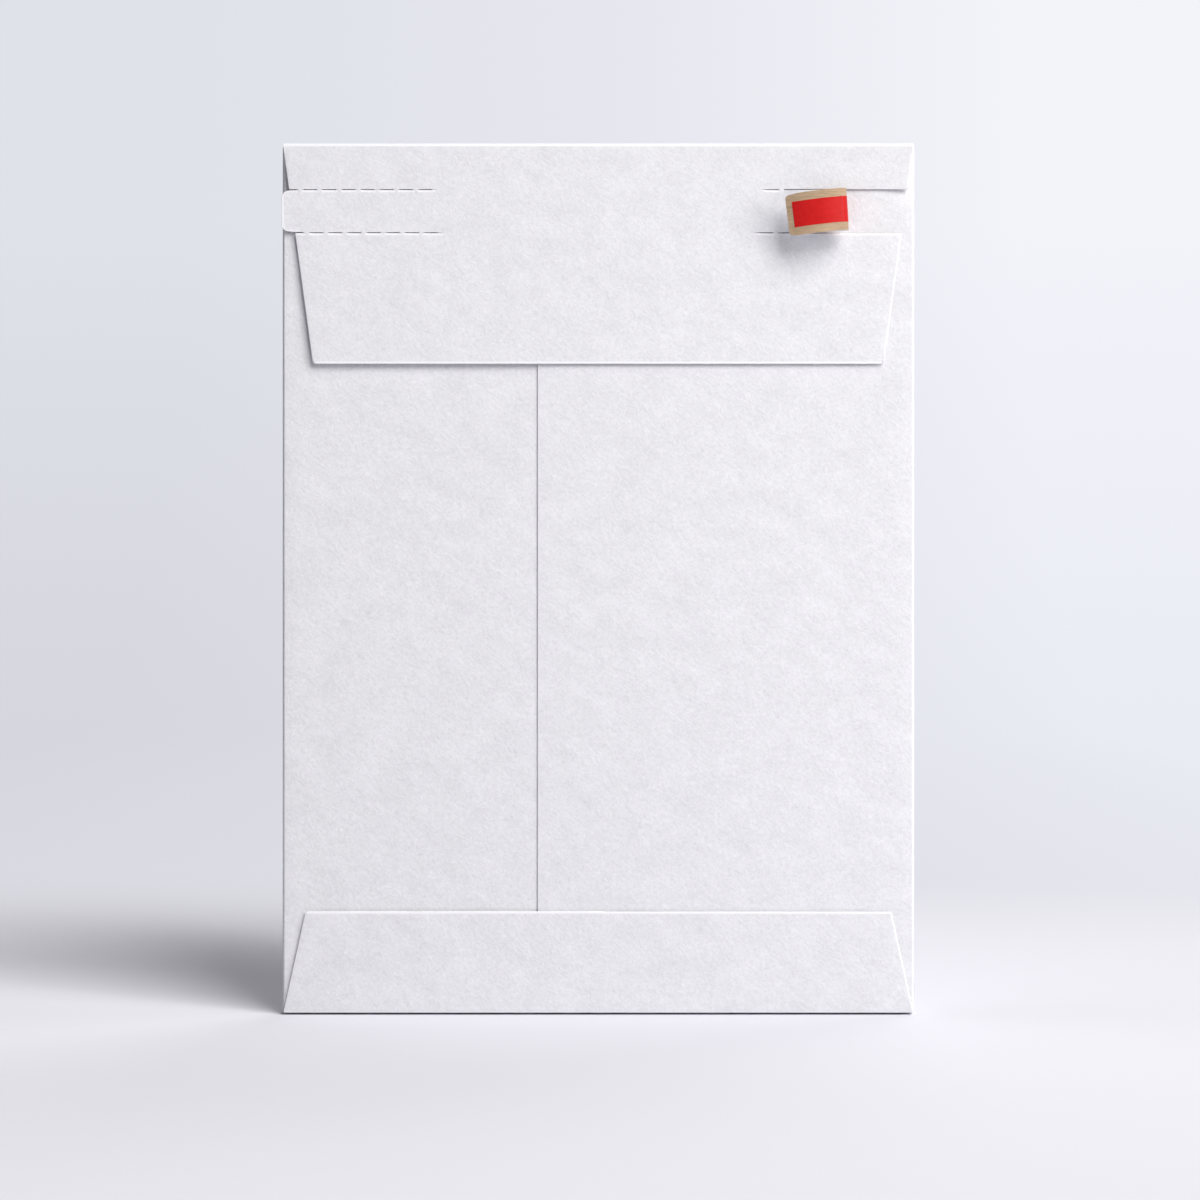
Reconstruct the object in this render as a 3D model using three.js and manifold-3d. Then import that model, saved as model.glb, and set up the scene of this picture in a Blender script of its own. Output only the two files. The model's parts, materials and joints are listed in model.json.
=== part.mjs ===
// Board envelope with a tear strip, standing on its bottom edge.
// Millimetres, +Z up. X runs across the width, the flap side faces -Y, the address side faces +Y.
// The origin is the middle of the bottom wall, on the surface that the envelope stands on.

import * as THREE from 'three';
import { mergeVertices } from 'three/addons/utils/BufferGeometryUtils.js';
import Module from 'manifold-3d';

const wasm = await Module();
wasm.setup();

// Outer size and pocket
const WIDTH = 240;
const HEIGHT = 330;
const POCKET_DEPTH = 6;

// Thickness of the sheet and of what is glued to it
const BOARD = 0.5;
const GLUE = 0.1;
const LINING = 0.15;
const TAPE = 0.1;
const SEAL = 0.2;

// Folds along the sides and the bottom. The sides have a low ridge halfway through their depth.
// A fold has a short flat lead at each end, where it joins its panels.
const SIDE_FOLD_RADIUS = 1;
const SIDE_RIDGE = 1;
const RIDGE_RADIUS = 0.6;
const BOTTOM_FOLD_RADIUS = 1;
const FOLD_LEAD = 0.5;
const ARC_STEPS = 4;

// Clearances: at a crease that opens, under the top wall, and behind the strip's tape
const CREASE_GAP = 0.1;
const THROAT_GAP = 0.3;
const STRIP_BACK_GAP = 0.35;

// Centre seam on the back, where the right panel lies over the left one
const SEAM_FROM_LEFT = 97;
const SEAM_OVERLAP = 18;
const SEAM_GLUE_WIDTH = 10;
const SEAM_GLUE_END_MARGIN = 12;

// Bottom flap, glued over both back panels
const BOTTOM_FLAP_HEIGHT = 39.2;
const BOTTOM_CREASE_INSET = 0.8;
const BOTTOM_FLAP_TAPER = 8.3;
const BOTTOM_FLAP_CORNER = 1.5;
const BOTTOM_GLUE_HEIGHT = 24;
const BOTTOM_GLUE_MARGIN = 9;

// Closing flap, which narrows towards its lower edge
const FLAP_DROP = 83.6;
const TOP_CREASE_INSET = 0.5;
const FLAP_TAPER = 11.5;
const FLAP_CORNER = 1.5;
const SEAL_HEIGHT = 15;
const SEAL_MARGIN = 8;

// Tear strip across the closing flap, with a finger tab past the flap's edge at each end
const STRIP_DROP = 17.5;
const STRIP_HEIGHT = 16.6;
const TORN_MARGIN = 0.43;
const TAPE_WIDTH = 9.6;
const TAPE_END_INSET = 2;
const TAB_OVERHANG = 3.9;
const TAB_NARROWING = 0.6;
const TAB_CORNER = 1.3;
const TAB_HINGE_INSET = 1.8;

// Perforation slits along both edges of the strip, counted inwards from each end
const SLIT_LENGTH = 5.4;
const SLIT_TIE = 1.85;
const SLIT_WIDTH = 0.3;
const FIRST_SLIT = 3.2;
const SLITS_PER_END = 7;

// Torn right end of the strip, which has curled off the flap and back over itself.
// The curl is a chain of short links. Each entry gives the distance along the strip from the
// hinge before it, and the angle that this hinge is bent by. The hinge lines lean to the left.
// The last link ends at the strip's right tab.
const CURL_LEAN = 3.5;
const CURL_HINGES = [
  { after: 0, bend: 7 },
  { after: 10.8, bend: 8 },
  { after: 11, bend: 49 },
  { after: 2.7, bend: 50 },
  { after: 2.7, bend: 49 },
  { after: 7.3, bend: 20 },
  { after: 7.8, bend: 14 },
];
const LAST_LINK = 6.85;

const boardFinish = { color: 0xeaeaee, roughness: 0.85, metalness: 0 };
const kraftFinish = { color: 0xbaa084, roughness: 0.9, metalness: 0 };
const tapeFinish = { color: 0xd33130, roughness: 0.45, metalness: 0 };
const glueFinish = { color: 0xe6e0cc, roughness: 0.5, metalness: 0 };

// Layers through the thickness, from the address side (+Y) to the flap side (-Y)
const frontInner = POCKET_DEPTH / 2;
const frontOuter = frontInner + BOARD;
const leftBackInner = -POCKET_DEPTH / 2;
const leftBackOuter = leftBackInner - BOARD;
const rightBackInner = leftBackOuter - GLUE;
const rightBackOuter = rightBackInner - BOARD;
const bottomFlapInner = rightBackOuter - GLUE;
const bottomFlapOuter = bottomFlapInner - BOARD;
const flapInner = rightBackOuter - STRIP_BACK_GAP - TAPE - LINING;
const flapOuter = flapInner - BOARD;

// Heights and half widths
const panelBottom = BOTTOM_FOLD_RADIUS + FOLD_LEAD;
const sleeveBottom = panelBottom + THROAT_GAP;
const sleeveTop = HEIGHT - BOARD - THROAT_GAP;
const flapBottom = HEIGHT - FLAP_DROP;
const stripTop = HEIGHT - STRIP_DROP;
const stripBottom = stripTop - STRIP_HEIGHT;
const stripMiddle = (stripTop + stripBottom) / 2;
const panelEdge = WIDTH / 2 - SIDE_RIDGE - SIDE_FOLD_RADIUS - FOLD_LEAD;
const seamEdge = SEAM_FROM_LEFT - WIDTH / 2;
const bottomCreaseEdge = WIDTH / 2 - BOTTOM_CREASE_INSET;
const topCreaseEdge = WIDTH / 2 - TOP_CREASE_INSET;
const mitreGap = CREASE_GAP / 2;

const flapEdge = (z) => topCreaseEdge - FLAP_TAPER * (HEIGHT - z) / FLAP_DROP;
const tabEnd = flapEdge(stripMiddle) + TAB_OVERHANG;
const point = (x, y) => new THREE.Vector2(x, y);
const mirrored = (points) => points.map((p) => point(-p.x, p.y)).reverse();

// Outlines and folded sections

// Points of the arc that rounds one corner, in order from one neighbour to the other.
function roundCorner(before, corner, after, radius) {
  const toBefore = before.clone().sub(corner).normalize();
  const toAfter = after.clone().sub(corner).normalize();
  const halfAngle = Math.acos(toBefore.dot(toAfter)) / 2;
  const toCentre = toBefore.clone().add(toAfter).setLength(radius / Math.sin(halfAngle));
  const centre = corner.clone().add(toCentre);
  const start = corner.clone().addScaledVector(toBefore, radius / Math.tan(halfAngle));
  const turn = Math.sign(toAfter.cross(toBefore)) * (Math.PI - 2 * halfAngle);
  const arc = [];
  for (let step = 0; step <= ARC_STEPS; step += 1) {
    arc.push(start.clone().rotateAround(centre, turn * step / ARC_STEPS));
  }
  return arc;
}

// A line through the corners, with each inner corner rounded. radii has one value per inner corner.
function foldedPath(corners, radii) {
  const path = [corners[0]];
  radii.forEach((radius, i) => {
    path.push(...roundCorner(corners[i], corners[i + 1], corners[i + 2], radius));
  });
  path.push(corners[corners.length - 1]);
  return path.filter((p, i) => i === 0 || p.distanceTo(path[i - 1]) > 1e-6);
}

// Outline of the board where it follows a path, half its thickness to each side.
function boardSection(path) {
  const last = path.length - 1;
  const offset = (side) => path.map((p, i) => {
    const arriving = path[Math.max(i, 1)].clone().sub(path[Math.max(i, 1) - 1]).normalize();
    const leaving = path[Math.min(i, last - 1) + 1].clone().sub(path[Math.min(i, last - 1)]).normalize();
    const along = arriving.add(leaving).normalize();
    const reach = side * BOARD / 2 / along.dot(leaving);
    return point(p.x - along.y * reach, p.y + along.x * reach);
  });
  return [...offset(1), ...offset(-1).reverse()];
}

// One long edge of the strip from left to right. The slits are shallow steps in the edge, and the
// first slit at each end runs out past the flap.
function perforatedEdge(z, inwards) {
  const slitZ = z + inwards * SLIT_WIDTH;
  const flapSide = -flapEdge(z);
  const leftHalf = [
    point(flapSide, slitZ),
    point(flapSide + FIRST_SLIT, slitZ),
    point(flapSide + FIRST_SLIT, z),
  ];
  for (let slit = 0; slit < SLITS_PER_END; slit += 1) {
    const start = flapSide + FIRST_SLIT + SLIT_TIE + slit * (SLIT_LENGTH + SLIT_TIE);
    const end = start + SLIT_LENGTH;
    leftHalf.push(point(start, z), point(start, slitZ), point(end, slitZ), point(end, z));
  }
  return [...leftHalf, ...mirrored(leftHalf)];
}

// The whole strip laid flat: two perforated edges between two finger tabs.
function stripOutline() {
  const top = perforatedEdge(stripTop, -1);
  const bottom = perforatedEdge(stripBottom, 1).reverse();
  const upperCorner = point(tabEnd, stripTop - SLIT_WIDTH - TAB_NARROWING);
  const lowerCorner = point(tabEnd, stripBottom + SLIT_WIDTH + TAB_NARROWING);
  const rightTab = [
    ...roundCorner(top[top.length - 1], upperCorner, lowerCorner, TAB_CORNER),
    ...roundCorner(upperCorner, lowerCorner, bottom[0], TAB_CORNER),
  ];
  return [...top, ...rightTab, ...bottom, ...mirrored(rightTab)];
}

const rectangle = (left, right, low, high) => [
  point(left, low),
  point(right, low),
  point(right, high),
  point(left, high),
];

// Solids

function extrude(outline, depth) {
  return new THREE.ExtrudeGeometry(new THREE.Shape(outline), { depth, bevelEnabled: false });
}

// A section seen from above, drawn upwards.
function upright(section, low, high) {
  return extrude(section, high - low).translate(0, 0, low);
}

const alongX = new THREE.Vector3(1, 0, 0);
const alongY = new THREE.Vector3(0, 1, 0);
const alongZ = new THREE.Vector3(0, 0, 1);

// A section through the depth and the height, drawn across the width to both sides.
function crosswise(section, halfWidth) {
  const turn = new THREE.Matrix4().makeBasis(alongY, alongZ, alongX);
  return extrude(section, 2 * halfWidth).applyMatrix4(turn).translate(-halfWidth, 0, 0);
}

// An outline seen from the front, drawn from its inner face to its outer face towards -Y.
function facing(outline, inner, outer) {
  const turn = new THREE.Matrix4().makeBasis(alongX, alongZ, alongY.clone().negate());
  return extrude(outline, inner - outer).applyMatrix4(turn).translate(0, inner, 0);
}

function solidOf(geometry) {
  const bare = geometry.clone();
  bare.deleteAttribute('normal');
  bare.deleteAttribute('uv');
  const merged = mergeVertices(bare);
  return new wasm.Manifold(new wasm.Mesh({
    numProp: 3,
    vertProperties: merged.attributes.position.array,
    triVerts: Uint32Array.from(merged.index.array),
  }));
}

function geometryOf(solid) {
  const mesh = solid.getMesh();
  const geometry = new THREE.BufferGeometry();
  geometry.setAttribute('position', new THREE.BufferAttribute(mesh.vertProperties, 3));
  geometry.setIndex(new THREE.BufferAttribute(mesh.triVerts, 1));
  geometry.computeVertexNormals();
  return geometry;
}

function common(...geometries) {
  const solids = geometries.map(solidOf);
  return geometryOf(solids.reduce((whole, next) => whole.intersect(next)));
}

const envelope = new THREE.Group();

function add(name, geometry, finish, parent = envelope) {
  const mesh = new THREE.Mesh(geometry, new THREE.MeshStandardMaterial(finish));
  mesh.name = name;
  parent.add(mesh);
}

// Sleeve: front panel, two side walls and two back panels, folded from one sheet

function frontPanel() {
  return crosswise([
    point(frontOuter, panelBottom),
    point(frontOuter, HEIGHT - mitreGap),
    point(frontInner, HEIGHT - BOARD - mitreGap),
    point(frontInner, panelBottom),
  ], panelEdge);
}

function sideWall(side, backInner) {
  const frontMid = frontInner + BOARD / 2;
  const backMid = backInner - BOARD / 2;
  const ridgeMid = (frontMid + backMid) / 2;
  const slope = Math.atan2(SIDE_RIDGE, frontMid - ridgeMid);
  const ridgeX = WIDTH / 2 - BOARD / 2 + RIDGE_RADIUS * (1 / Math.cos(slope) - 1);
  const foldRadius = SIDE_FOLD_RADIUS - BOARD / 2;
  const corners = [
    point(side * panelEdge, frontMid),
    point(side * (ridgeX - SIDE_RIDGE), frontMid),
    point(side * ridgeX, ridgeMid),
    point(side * (ridgeX - SIDE_RIDGE), backMid),
    point(side * panelEdge, backMid),
  ];
  const path = foldedPath(corners, [foldRadius, RIDGE_RADIUS, foldRadius]);
  return upright(boardSection(path), sleeveBottom, sleeveTop);
}

function backPanel(left, right, inner) {
  return upright(rectangle(left, right, inner - BOARD, inner), sleeveBottom, sleeveTop);
}

function seamGlue() {
  const left = seamEdge + (SEAM_OVERLAP - SEAM_GLUE_WIDTH) / 2;
  const section = rectangle(left, left + SEAM_GLUE_WIDTH, rightBackInner, leftBackOuter);
  return upright(section, sleeveBottom + SEAM_GLUE_END_MARGIN, sleeveTop - SEAM_GLUE_END_MARGIN);
}

add('front_panel', frontPanel(), boardFinish);
add('left_side_wall', sideWall(-1, leftBackInner), boardFinish);
add('right_side_wall', sideWall(1, rightBackInner), boardFinish);
add('left_back_panel', backPanel(-panelEdge, seamEdge + SEAM_OVERLAP, leftBackInner), boardFinish);
add('right_back_panel', backPanel(seamEdge, panelEdge, rightBackInner), boardFinish);
add('seam_glue', seamGlue(), glueFinish);

// Bottom: a flat wall between two rounded folds, and the flap that is glued up over the back

function bottomWall() {
  const frontMid = frontInner + BOARD / 2;
  const flapMid = bottomFlapInner - BOARD / 2;
  const corners = [
    point(frontMid, panelBottom),
    point(frontMid, BOARD / 2),
    point(flapMid, BOARD / 2),
    point(flapMid, panelBottom),
  ];
  const foldRadius = BOTTOM_FOLD_RADIUS - BOARD / 2;
  return crosswise(boardSection(foldedPath(corners, [foldRadius, foldRadius])), bottomCreaseEdge);
}

function bottomFlap() {
  const lowerRight = point(bottomCreaseEdge, panelBottom);
  const upperRight = point(bottomCreaseEdge - BOTTOM_FLAP_TAPER, BOTTOM_FLAP_HEIGHT);
  const upperLeft = point(-upperRight.x, upperRight.y);
  const rightEdge = [
    lowerRight,
    ...roundCorner(lowerRight, upperRight, upperLeft, BOTTOM_FLAP_CORNER),
  ];
  return facing([...rightEdge, ...mirrored(rightEdge)], bottomFlapInner, bottomFlapOuter);
}

// The glue is thicker on the left, where the panel lies one sheet further in.
function bottomFlapGlue() {
  const glueEdge = bottomCreaseEdge - BOTTOM_FLAP_TAPER - BOTTOM_GLUE_MARGIN;
  const section = [
    point(-glueEdge, bottomFlapInner),
    point(glueEdge, bottomFlapInner),
    point(glueEdge, rightBackOuter),
    point(seamEdge, rightBackOuter),
    point(seamEdge, leftBackOuter),
    point(-glueEdge, leftBackOuter),
  ];
  const low = (BOTTOM_FLAP_HEIGHT - BOTTOM_GLUE_HEIGHT) / 2;
  return upright(section, low, low + BOTTOM_GLUE_HEIGHT);
}

add('bottom_wall', bottomWall(), boardFinish);
add('bottom_flap', bottomFlap(), boardFinish);
add('bottom_flap_glue', bottomFlapGlue(), glueFinish);

// Top wall and closing flap. Their edges are mitred at both top creases, so that they open on the
// inside and turn about the outer corner of the crease.

function topWall() {
  return crosswise([
    point(frontOuter - mitreGap, HEIGHT),
    point(frontInner - mitreGap, HEIGHT - BOARD),
    point(flapInner + mitreGap, HEIGHT - BOARD),
    point(flapOuter + mitreGap, HEIGHT),
  ], topCreaseEdge);
}

function flapUpperBand() {
  const section = crosswise([
    point(flapOuter, stripTop),
    point(flapInner, stripTop),
    point(flapInner, HEIGHT - BOARD - mitreGap),
    point(flapOuter, HEIGHT - mitreGap),
  ], WIDTH / 2);
  const rightEdge = [point(flapEdge(stripTop), stripTop), point(flapEdge(HEIGHT), HEIGHT)];
  const outline = facing([...rightEdge, ...mirrored(rightEdge)], frontInner, flapOuter - BOARD);
  return common(section, outline);
}

function flapLowerPanel() {
  const upperRight = point(flapEdge(stripBottom), stripBottom);
  const lowerRight = point(flapEdge(flapBottom), flapBottom);
  const lowerLeft = point(-lowerRight.x, lowerRight.y);
  const rightEdge = [
    upperRight,
    ...roundCorner(upperRight, lowerRight, lowerLeft, FLAP_CORNER),
  ];
  return facing([...rightEdge, ...mirrored(rightEdge)], flapInner, flapOuter);
}

function sealAdhesive() {
  const low = flapBottom + SEAL_MARGIN;
  const edge = flapEdge(flapBottom) - SEAL_MARGIN;
  return facing(rectangle(-edge, edge, low, low + SEAL_HEIGHT), flapInner + SEAL, flapInner);
}

add('top_wall', topWall(), boardFinish);
add('flap_upper_band', flapUpperBand(), boardFinish);
add('flap_lower_panel', flapLowerPanel(), boardFinish);
add('seal_adhesive', sealAdhesive(), glueFinish);

// Tear strip: the board between the two perforated lines, a kraft lining behind it and a narrow
// tape on the lining. Each layer is made flat and whole, and then cut at the hinge lines.

const boardLayer = facing(stripOutline(), flapInner, flapOuter);
const liningLayer = common(
  facing(stripOutline(), flapInner + LINING, flapInner),
  facing(rectangle(-WIDTH, WIDTH, stripBottom + TORN_MARGIN, stripTop - TORN_MARGIN), frontInner, flapOuter),
);
const tapeLayer = facing(
  rectangle(
    TAPE_END_INSET - tabEnd,
    tabEnd - TAPE_END_INSET,
    stripMiddle - TAPE_WIDTH / 2,
    stripMiddle + TAPE_WIDTH / 2,
  ),
  flapInner + LINING + TAPE,
  flapInner + LINING,
);

// The block between two hinge lines, with half a crease gap left at each.
function betweenHinges(left, right, low, high) {
  const onHinge = (hinge, z, side) => {
    const lean = THREE.MathUtils.degToRad(hinge.lean);
    return point(hinge.x - (z - stripMiddle) * Math.tan(lean) + side * mitreGap / Math.cos(lean), z);
  };
  const outline = [
    onHinge(left, low, 1),
    onHinge(right, low, -1),
    onHinge(right, high, -1),
    onHinge(left, high, 1),
  ];
  return facing(outline, frontInner, flapOuter - BOARD);
}

function addStripSegment(name, left, right, margin, parent = envelope, origin = new THREE.Vector3()) {
  const block = betweenHinges(left, right, stripBottom + margin, stripTop - margin);
  const place = (layer) => common(layer, block).translate(-origin.x, -origin.y, -origin.z);
  add(`tear_strip_${name}`, place(boardLayer), boardFinish, parent);
  add(`kraft_lining_${name}`, place(liningLayer), kraftFinish, parent);
  add(`tear_tape_${name}`, place(tapeLayer), tapeFinish, parent);
}

const tabHinge = { x: TAB_HINGE_INSET - flapEdge(stripMiddle), lean: 0 };
const farLeft = { x: -WIDTH, lean: 0 };
const farRight = { x: WIDTH, lean: 0 };

const tornLength = CURL_HINGES.reduce((length, hinge) => length + hinge.after, LAST_LINK);
let hingeX = tabEnd - tornLength;
const curl = CURL_HINGES.map(({ after, bend }) => {
  hingeX += after;
  return { x: hingeX, lean: CURL_LEAN, bend };
});

addStripSegment('tab', farLeft, tabHinge, 0);
addStripSegment('held', tabHinge, curl[0], 0);

// Each link hangs in the group of the link before it and turns about a hinge line on the white face.
const lean = THREE.MathUtils.degToRad(CURL_LEAN);
const hingeAxis = new THREE.Vector3(-Math.sin(lean), 0, Math.cos(lean));
let carrier = envelope;
let carrierOrigin = new THREE.Vector3();
curl.forEach((hinge, i) => {
  const origin = new THREE.Vector3(hinge.x, flapOuter, stripMiddle);
  const link = new THREE.Group();
  link.position.subVectors(origin, carrierOrigin);
  link.quaternion.setFromAxisAngle(hingeAxis, -THREE.MathUtils.degToRad(hinge.bend));
  carrier.add(link);
  addStripSegment(`link_${i + 1}`, hinge, curl[i + 1] ?? farRight, TORN_MARGIN, link, origin);
  carrier = link;
  carrierOrigin = origin;
});

export default envelope;
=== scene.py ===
"""A white board envelope with a tear strip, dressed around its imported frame."""

from collections import namedtuple
import json
import math

import bpy
import numpy as np
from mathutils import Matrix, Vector


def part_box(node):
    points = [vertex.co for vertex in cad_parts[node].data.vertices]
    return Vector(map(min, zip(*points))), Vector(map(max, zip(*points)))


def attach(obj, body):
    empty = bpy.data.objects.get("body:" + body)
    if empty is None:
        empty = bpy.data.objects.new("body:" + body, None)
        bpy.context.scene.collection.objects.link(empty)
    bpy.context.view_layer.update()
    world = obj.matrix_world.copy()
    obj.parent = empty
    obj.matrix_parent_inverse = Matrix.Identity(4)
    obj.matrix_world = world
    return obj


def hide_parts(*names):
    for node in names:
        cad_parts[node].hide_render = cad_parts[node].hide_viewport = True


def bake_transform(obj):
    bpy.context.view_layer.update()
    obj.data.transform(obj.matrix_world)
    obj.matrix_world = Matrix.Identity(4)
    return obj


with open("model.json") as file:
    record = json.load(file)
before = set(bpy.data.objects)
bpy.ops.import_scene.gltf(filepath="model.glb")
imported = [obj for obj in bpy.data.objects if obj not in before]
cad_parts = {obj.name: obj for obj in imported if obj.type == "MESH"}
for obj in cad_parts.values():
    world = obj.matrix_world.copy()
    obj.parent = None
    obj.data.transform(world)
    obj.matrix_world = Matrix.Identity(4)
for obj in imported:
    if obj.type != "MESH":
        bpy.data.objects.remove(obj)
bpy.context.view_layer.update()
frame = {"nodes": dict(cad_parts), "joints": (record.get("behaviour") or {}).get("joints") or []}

MM = 0.001

# Boxes of the CAD's panels

front_low, front_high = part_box("front_panel")
left_low, left_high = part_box("left_back_panel")
right_low, right_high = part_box("right_back_panel")
wall_low, wall_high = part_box("right_side_wall")
bottom_low, bottom_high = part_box("bottom_flap")
top_low, top_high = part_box("top_wall")
band_low, band_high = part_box("flap_upper_band")
panel_low, panel_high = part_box("flap_lower_panel")
lining_low, lining_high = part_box("kraft_lining_held")
tape_low, tape_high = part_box("tear_tape_held")

# Sizes that are worked out from these boxes, in metres. MID is halfway through a board.

BOARD = front_high.y - front_low.y
LINING = lining_high.y - lining_low.y
TAPE = tape_high.y - tape_low.y
TOP = top_high.z
SIDE = wall_high.x
PANEL_HALF = front_high.x
PANEL_BOTTOM = front_low.z
BOTTOM_WALL_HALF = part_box("bottom_wall")[1].x
SLEEVE_BOTTOM = wall_low.z
SLEEVE_TOP = wall_high.z
FRONT_MID = (front_low.y + front_high.y) / 2
LEFT_MID = (left_low.y + left_high.y) / 2
RIGHT_MID = (right_low.y + right_high.y) / 2
BOTTOM_FLAP_MID = (bottom_low.y + bottom_high.y) / 2
BOTTOM_FLAP_TOP = bottom_high.z
TOP_WALL_HALFWAY = (top_low.y + top_high.y) / 2
TOP_WALL_MID = TOP - BOARD / 2
FLAP_MID = (panel_low.y + panel_high.y) / 2
FLAP_OUTER = panel_low.y
FLAP_BOTTOM = panel_low.z
STRIP_TOP = band_low.z
STRIP_BOTTOM = panel_high.z
STRIP_MIDDLE = (STRIP_TOP + STRIP_BOTTOM) / 2
STRIP_HALF = (lining_high.z - lining_low.z) / 2
TAPE_HALF = (tape_high.z - tape_low.z) / 2
TAB_END = -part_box("tear_strip_tab")[0].x
TAPE_MARGIN = 0.35 * MM  # how far the tape stops short of the CAD's tape at the finger tab
TAPE_END = -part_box("tear_tape_tab")[0].x - TAPE_MARGIN

# Folds and corners of the sheet

SIDE_RIDGE = 0.7 * MM
RIDGE_RADIUS = 0.35 * MM
SIDE_FOLD_RADIUS = 0.6 * MM
BOTTOM_FOLD_RADIUS = 0.75 * MM
BOTTOM_RISE = 0.85 * MM  # how much higher the bottom wall ends under the flap
BOTTOM_RISE_RADIUS = 0.4 * MM
BOTTOM_SINK = 0.08 * MM  # how much lower it starts at the address side
BOTTOM_FLAP_TAPER = 8.3 * MM
BOTTOM_FLAP_CORNER = 0.8 * MM
TOP_FOLD_RADIUS = 1.2 * MM
JOIN_LEVEL = TOP - 4 * MM  # where the pieces of the top creases join the panels
FLAP_CORNER = 1.1 * MM
TAB_CORNER = 2.1 * MM
TORN_CORNER = 1.2 * MM
END_NARROWING = 0.45 * MM
NARROWING_LENGTH = 4 * MM

# Perforation slits, the torn slot and the finger tab

SLIT_LENGTH = 4.95 * MM
SLIT_TIE = 2.3 * MM
SLIT_WIDTH = 0.3 * MM
FIRST_SLIT = 3.2 * MM
SLITS_PER_END = 7
PAST_EDGE = 5 * MM  # the outermost slits run off the sheet by this much
UPPER_LIP, LOWER_LIP = STRIP_TOP - SLIT_WIDTH, STRIP_BOTTOM + SLIT_WIDTH
TEAR_LINES = ((STRIP_TOP, UPPER_LIP), (STRIP_BOTTOM, LOWER_LIP))  # both sides of the slits
TEAR_FRONT = 69.9 * MM  # where the tear has stopped, right of the middle
TAB_JOIN = 113.5 * MM  # where the finger tab begins, left of the middle
STEADY = 55 * MM  # the flap's columns are upright up to here and slant further out

# Edges: how round they are, how much lighter they are painted (partly scuffed fibres, partly
# painted highlight), and how far the die has pressed them in

EDGE_ROUNDING = 0.44 * MM
PRESSED_WIDTH = 1.1 * MM
PRESSED_DEPTH = 0.14 * MM
LIP_WHITENESS_AND_HIGHLIGHT = 1.8
CRISP_SHARE = 0.6
LEFT_SHARE = 0.5
FLAP_LEFT_SHARE = 0.6
SEAM_SHARE = 0.45
SIDE_FOLD_WEAR_AND_HIGHLIGHT = 0.3
THIN_LAYER_SHARE = 0.4
HELD_LAYER_SHARE = 0.3
BEVEL_SEGMENTS = 2
SMOOTH_ANGLE = math.radians(40)

# Where a panel waves, is pinched or pressed in, or stands off

BACK_WAVE = 0.12 * MM
BACK_MARGIN = 20 * MM
BOTTOM_WAVE = 0.08 * MM
BOTTOM_WAVE_SHIFT = 0.3  # so that its waves don't repeat the back's
BOTTOM_WAVE_START = 4 * MM
BOTTOM_WAVE_GROWTH = 12 * MM
GROOVE_DEPTH = 0.14 * MM
GROOVE_WIDTH = 0.35 * MM
GROOVE_MIDDLE = BOTTOM_FLAP_TOP + 0.6 * GROOVE_WIDTH
GROOVE_ROWS = np.array([-4, -2, -1, -0.5, 0, 0.5, 1, 2, 4])
PINCH_WIDTH = 9 * MM
PINCH_HEIGHT = 22 * MM
PINCH_DEPTH = 2.4 * MM
PINCH_START = 3 * MM
FLAP_LIFT = 0.85 * MM
LIFT_START = STRIP_BOTTOM + 6 * MM
LIFT_POWER = 1.5
LIFT_LEAST = 0.35  # the share of the lift that is left at the right
LIFT_HALFWAY = -50 * MM
LIFT_SPREAD = 30 * MM

# Steps of the grids, in metres, or as shares of a half width

PATH_STEP = 6 * MM
ARC_STEPS = 6
CREASE_STEP = 2 * MM
CREASE_ARC_STEPS = 8
SLEEVE_STEP = 5 * MM
EDGE_STEP = 1 * MM
BOTTOM_GUARD = 0.5 * MM
ACROSS_STEP = 0.04
FLAP_STEP = 4 * MM
CORNER_STEPS = 2
STRIP_STEP = 2 * MM
STRIP_ACROSS_STEP = 0.2
BEND_STATIONS = 9
TAB_STEP = 0.7 * MM
HELD_STEP = 6 * MM
HELD_ACROSS_STEP = 0.25
NEAR = 1e-6  # two stops closer than this are the same one

# Values that all paper materials share

MIX_A, MIX_B, MIX_RESULT = 6, 7, 2  # a Mix node's sockets for colours
RAMP_ENDS = (0.36, 0.64)
NOISE_ROUGHNESS = 0.55
PAPER_IOR = 1.45
PAPER_SPECULAR = 0.35


def curve_colour(hex_code):
    """Linear RGBA of an sRGB hex colour."""
    levels = np.array([int(hex_code[i:i + 2], 16) for i in (1, 3, 5)]) / 255
    linear = np.where(levels <= 0.04045, levels / 12.92, ((levels + 0.055) / 1.055) ** 2.4)
    return (*linear.tolist(), 1.0)


def new_object(name, data):
    """An object with this data, put into the scene."""
    made = bpy.data.objects.new(name, data)
    bpy.context.scene.collection.objects.link(made)
    return made


def node(tree, kind, inputs=None, **settings):
    """A shader node with its settings, and its sockets set to values or linked to sockets."""
    made = tree.nodes.new(kind)
    for name, value in settings.items():
        setattr(made, name, value)
    for socket, value in (inputs or {}).items():
        if isinstance(value, bpy.types.NodeSocket):
            tree.links.new(value, made.inputs[socket])
        else:
            made.inputs[socket].default_value = value
    return made


def new_material(name):
    """An empty node material, its tree and its output node."""
    material = bpy.data.materials.new(name)
    material.use_nodes = True
    tree = material.node_tree
    tree.nodes.clear()
    return material, tree, tree.nodes.new("ShaderNodeOutputMaterial")


def fibres(tree, coordinates, length, width, angle=0.0, distortion=0.0, detail=2.0, kind="FBM"):
    """A noise drawn out into streaks of a length and width, turned by an angle in degrees."""
    turn, scale = (0, 0, math.radians(angle)), (length, width, width)
    streaks = node(
        tree, "ShaderNodeMapping", {"Vector": coordinates, "Rotation": turn, "Scale": scale},
        vector_type="TEXTURE",
    )
    return node(
        tree, "ShaderNodeTexNoise",
        {"Vector": streaks.outputs["Vector"], "Scale": 1.0, "Detail": detail,
         "Roughness": NOISE_ROUGHNESS, "Distortion": distortion},
        noise_type=kind,
    ).outputs["Fac"]


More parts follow.
